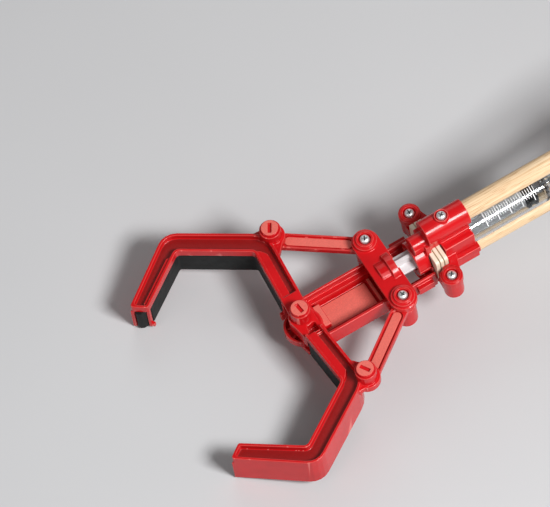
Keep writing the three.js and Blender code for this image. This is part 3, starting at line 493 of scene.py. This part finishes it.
def screw_template(head_r, shaft_r, length):
    """Domed pan head with a cross recess, its top at z = 0 and its shaft down -z."""
    tall = head_r * 0.72
    profile = rounded_profile([
        (0.0, 0.0, 0), (-0.05, head_r * 0.5, 0.3), (-tall * 0.34, head_r * 0.9, 0.5),
        (-tall, head_r, 0.15), (-tall, shaft_r, 0.1), (-length, shaft_r, 0.3), (-length, 0.0, 0),
    ])
    bm = lathe([tuple(p) for p in profile], segments=48)
    bmesh.ops.rotate(bm, matrix=Matrix.Rotation(math.radians(-90), 3, "Y"), verts=bm.verts)
    mesh = bpy.data.meshes.new("screw_blank")
    bmesh.ops.recalc_face_normals(bm, faces=bm.faces)
    bm.to_mesh(mesh)
    bm.free()
    blank = bpy.data.objects.new("screw_blank", mesh)
    bpy.context.scene.collection.objects.link(blank)
    wide, long, deep = head_r * 0.19, head_r * 0.66, head_r * 0.5
    tools = []
    for half in ((wide, long), (long, wide)):
        cutter = soft_box((-half[0], -half[1], -deep), (half[0], half[1], 1.0), 0.08)
        for v in cutter.verts:
            if v.co.z < -0.1:
                v.co.x *= 0.62
                v.co.y *= 0.62
        tool_mesh = bpy.data.meshes.new("recess")
        cutter.to_mesh(tool_mesh)
        cutter.free()
        tool = bpy.data.objects.new("recess", tool_mesh)
        bpy.context.scene.collection.objects.link(tool)
        cut = blank.modifiers.new("recess", "BOOLEAN")
        cut.operation = "DIFFERENCE"
        cut.solver = "EXACT"
        cut.object = tool
        tools.append(tool)
    done = applied(blank)
    for obj in [blank, *tools]:
        bpy.data.objects.remove(obj)
    # Faces deep inside the cross take the second material: painted shade.
    for face in done.polygons:
        inside = face.center.xy.length < long and face.center.z > -deep - 0.1
        face.material_index = int(inside and face.center.z < -RECESS_RIM)
    return done


def screws():
    turns = {
        "z": Matrix.Identity(4),
        "-z": Matrix.Rotation(math.pi, 4, "X"),
        "-y": Matrix.Rotation(math.pi / 2, 4, "X"),
    }
    # Node, the way its head faces, and how far its cross is turned, in degrees.
    kinds = [
        ("crosshead_screw_left", "z", 20), ("crosshead_screw_right", "z", 65),
        ("bracket_screw_left", "z", 50), ("bracket_screw_right", "z", 5),
        ("clamp_screw_upper", "z", 35), ("clamp_screw_lower", "-z", 10),
        ("handle_screw_upper_front", "-y", 15), ("handle_screw_upper_rear", "-y", 40),
        ("handle_screw_lower_front", "-y", 70), ("handle_screw_lower_rear", "-y", 30),
    ]
    for node, way, spin in kinds:
        low, high = arm_box(node)
        middle = (low + high) / 2
        size = high - low
        along = 1 if way == "-y" else 2
        head_r = min(size[i] for i in range(3) if i != along) / 2
        top = middle.copy()
        top[along] = high[along] if way == "z" else low[along]
        template = screw_template(head_r, head_r * 0.62, size[along])
        bm = bmesh.new()
        bm.from_mesh(template)
        cross = Matrix.Rotation(math.radians(spin), 4, "Z")
        spot = Matrix.Translation(top) @ turns[way] @ cross
        bmesh.ops.transform(bm, matrix=spot, verts=bm.verts)
        name = f"{node}_plated"
        screw = piece(name, bm, STEEL, BODY_OF[node], node, smooth=40.0)
        # Second material: painted shade inside the cross.
        screw.data.materials.append(SHADED_RECESS)


def dowels():
    for node in ("dowel_upper", "dowel_lower"):
        low, high = arm_box(node)
        z = (low.z + high.z) / 2
        profile = rounded_profile([
            (low.x, 0, 0), (low.x, DOWEL_R, 0.7), (high.x, DOWEL_R, 0.7), (high.x, 0, 0),
        ])
        turned = lathe(profile, 0, z, 72)
        piece(f"{node}_turned", turned, WOOD, BODY_OF[node], node, smooth=50.0)


def barrel_shell(mouth, nozzle_way, length):
    """Clear barrel as one closed tube: out from mouth to nozzle tip, and back along the bore."""
    def at(d):
        return mouth + nozzle_way * d
    shoulder = at(length + SHOULDER_LENGTH)
    tip = at(length + NOZZLE_LENGTH)
    return rounded_profile([
        (at(0), BORE_R, 0), (at(0), BARREL_R, 0.0), (at(length), BARREL_R, 0.8),
        (shoulder, 6.4, 0.3), (shoulder, 3.4, 0.3), (at(length + 2), 2.2, 0.2),
        (tip, 1.9, 0.2), (tip, NOZZLE_BORE_R, 0.1), (at(length), NOZZLE_BORE_R, 0.0),
        (at(length), 5.0, 0.0), (at(length - 1.2), BORE_R, 0.4), (at(0.1), BORE_R, 0),
    ])


def scale_marks(mouth, nozzle_way, centre):
    """Printed ring segments, a long one at each whole millilitre."""
    bm = bmesh.new()
    low, high = BARREL_R + 0.01, BARREL_R + INK_PROUD
    steps = 10
    for k in range(SCALE_MARKS):
        x = mouth + nozzle_way * (SCALE_START + k * ML / 5)
        whole = k % 5 == 0
        half = math.radians(34 if whole else 18)
        wide = 0.22 if whole else 0.16
        rows = []
        for j in range(steps + 1):
            t = centre - half + 2 * half * j / steps
            row = []
            for dx, r in ((-wide, low), (-wide, high), (wide, high), (wide, low)):
                row.append(bm.verts.new((x + dx, r * math.cos(t), r * math.sin(t))))
            rows.append(row)
        for a, b in zip(rows, rows[1:]):
            for m in range(4):
                bm.faces.new((a[m], a[(m + 1) % 4], b[(m + 1) % 4], b[m]))
        bm.faces.new(rows[0])
        bm.faces.new(rows[-1][::-1])
    return bm


def syringes():
    # End, the way its nozzle points, and the middle of its scale round the barrel, in degrees.
    for end, way, middle in (("front", -1, 62), ("rear", 1, 12)):
        node = f"{end}_barrel"
        low, high = arm_box(node)
        mouth = high.x if way < 0 else low.x
        length = (high.x - low.x) - NOZZLE_LENGTH
        shell = lathe(barrel_shell(mouth, way, length), 0, 0, 72, closed=True)
        piece(f"{end}_barrel_clear", shell, CLEAR, "arm_frame", node)
        wide = (high.y - low.y) / 2
        tall = (high.z - low.z) / 2
        slabs = []
        depth = 0.05
        for thick, inset in FLANGE_LAYERS:
            a, b = mouth + way * depth, mouth + way * (depth + thick + 0.02)
            slabs.append(flange_slab(min(a, b), max(a, b), wide - inset, tall - inset))
            depth += thick
        piece(f"{end}_flange", merged(slabs), CREAM, "arm_frame")
        marks = scale_marks(mouth, way, math.radians(middle))
        piece(f"{end}_scale", marks, INK, "arm_frame")
        refined(f"{end}_plunger", MILKY, voxel=0.2)
        refined(f"{end}_seal", RUBBER, voxel=0.16)


def flange_slab(x0, x1, wide, tall):
    """Squared finger plate swelling to the barrel's own round, with the bore through it."""
    bm = bmesh.new()
    steps = 160
    soft = 0.15
    power = FLANGE_SQUARENESS
    rims = []
    for x, inset in ((x0, soft), (x0 + soft, 0.0), (x1 - soft, 0.0), (x1, soft)):
        ring = []
        for k in range(steps):
            t = 2 * math.pi * k / steps
            c, s = math.cos(t), math.sin(t)
            share = abs(c / (wide - inset)) ** power + abs(s / (tall - inset)) ** power
            reach = max(share ** (-1 / power), BARREL_R + soft - inset)
            ring.append(bm.verts.new((x, c * reach, s * reach)))
        rims.append(ring)
    for x in (x1, x0):
        ring = []
        for k in range(steps):
            t = 2 * math.pi * k / steps
            ring.append(bm.verts.new((x, BORE_R * math.cos(t), BORE_R * math.sin(t))))
        rims.append(ring)
    for a, b in zip(rims, rims[1:] + rims[:1]):
        for k in range(steps):
            m = (k + 1) % steps
            bm.faces.new((a[k], a[m], b[m], b[k]))
    return bm


def rear_water():
    """Water in the hand syringe, filling the bore from the seal's nose towards the nozzle."""
    seal_nose = arm_box("rear_seal")[1].x
    end = arm_box("rear_barrel")[1].x - NOZZLE_LENGTH - 1.3
    start, radius = seal_nose + 0.2, BORE_R - 0.1
    profile = [(start, 0), (start, radius), (end, radius), (end, 0)]
    water = piece("rear_water", lathe(profile, 0, 0, 48), WATER, "arm_frame")
    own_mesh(water)


def tube_and_water():
    low, high = arm_box("tube")
    wall = rounded_profile([
        (low.x, TUBE_BORE_R, 0), (low.x, TUBE_R, 0.2),
        (high.x, TUBE_R, 0.2), (high.x, TUBE_BORE_R, 0),
    ])
    shell = lathe(wall, 0, 0, 48, closed=True)
    piece("tube_clear", shell, CLEAR, "arm_frame", "tube")
    low, high = arm_box("tube_water")
    column = lathe(rounded_profile([
        (low.x, 0, 0), (low.x, TUBE_WATER_R, 0.4), (high.x, TUBE_WATER_R, 0.4), (high.x, 0, 0),
    ]), 0, 0, 40)
    piece("tube_water_column", column, WATER, "arm_frame", "tube_water")


def thumb_cap():
    x = arm_box("thumb_cap")[0].x
    profile = rounded_profile([
        (x + 3.5, 0, 0), (x + 3.5, ROD_SOCKET_R, 0), (x + 8.6, ROD_SOCKET_R, 0.2),
        (x + 8.6, 6.6, 0.4), (x + 6.4, 6.9, 0.8), (x + 4.6, 8.0, 0.8),
        (x + 3.2, 10.2, 0.6), (x + 2.4, 13.0, 0.5),
        (x + 1.6, 13.5, 0.4), (x + 0.7, 13.5, 0.4), (x, 12.8, 0.3), (x, 9.0, 0.8),
        (x + 0.8, 7.0, 0.8), (x + 1.0, 0, 0),
    ])
    cap = lathe(profile, 0, 0, 96)
    piece("thumb_cap_moulded", cap, RED, "hand_plunger", "thumb_cap")


# ---------------------------------------------------------------- stage

def stage():
    bm = bmesh.new()
    bmesh.ops.create_grid(bm, x_segments=8, y_segments=8, size=TABLE_SIZE)
    mesh = bpy.data.meshes.new("table")
    bm.to_mesh(mesh)
    bm.free()
    mesh.materials.append(floor_material())
    table = bpy.data.objects.new("table", mesh)
    bpy.context.scene.collection.objects.link(table)
    table.location.z = -TABLE_DROP


def area_light(name, place, aim, size, power):
    light = bpy.data.lights.new(name, "AREA")
    light.shape = "RECTANGLE"
    light.size, light.size_y = size
    light.energy = power
    obj = bpy.data.objects.new(name, light)
    bpy.context.scene.collection.objects.link(obj)
    obj.location = place
    obj.rotation_euler = (Vector(aim) - Vector(place)).to_track_quat("-Z", "Y").to_euler()


def lights():
    aim = ARM @ Vector(LIGHTS_AIM)
    for name, offset, size, power in LIGHTS:
        area_light(name, aim + Vector(offset), aim, size, power)
    world = bpy.data.worlds.new("studio")
    world.use_nodes = True
    world.node_tree.nodes["Background"].inputs["Color"].default_value = (1.0, 1.0, 1.0, 1)
    world.node_tree.nodes["Background"].inputs["Strength"].default_value = WORLD_STRENGTH
    bpy.context.scene.world = world
    bpy.context.scene.view_settings.view_transform = "Standard"


def camera():
    """A long lens from the left front, well above the arm and rolled with it."""
    azimuth, elevation, roll = (math.radians(v) for v in CAMERA_ANGLES)
    flat = math.cos(elevation)
    away = Vector((flat * math.cos(azimuth), flat * math.sin(azimuth), math.sin(elevation)))
    right = Vector((-math.sin(azimuth), math.cos(azimuth), 0))
    up = away.cross(right)
    across = right * math.cos(roll) + up * math.sin(roll)
    upward = up * math.cos(roll) - right * math.sin(roll)
    place = away * CAMERA_AWAY + across * CAMERA_SHIFT[0] + upward * CAMERA_SHIFT[1]
    place.z -= CAMERA_DROP
    data = bpy.data.cameras.new("camera")
    data.sensor_width = 36.0
    data.lens = CAMERA_LENS
    data.clip_end = 50.0
    obj = bpy.data.objects.new("camera", data)
    bpy.context.scene.collection.objects.link(obj)
    pose = (TURN @ Matrix((across, upward, away)).transposed()).to_4x4()
    pose.translation = ARM @ place
    obj.matrix_world = pose
    bpy.context.scene.camera = obj


camera()
moulded_parts()
screws()
dowels()
syringes()
rear_water()
tube_and_water()
thumb_cap()
stage()
lights()
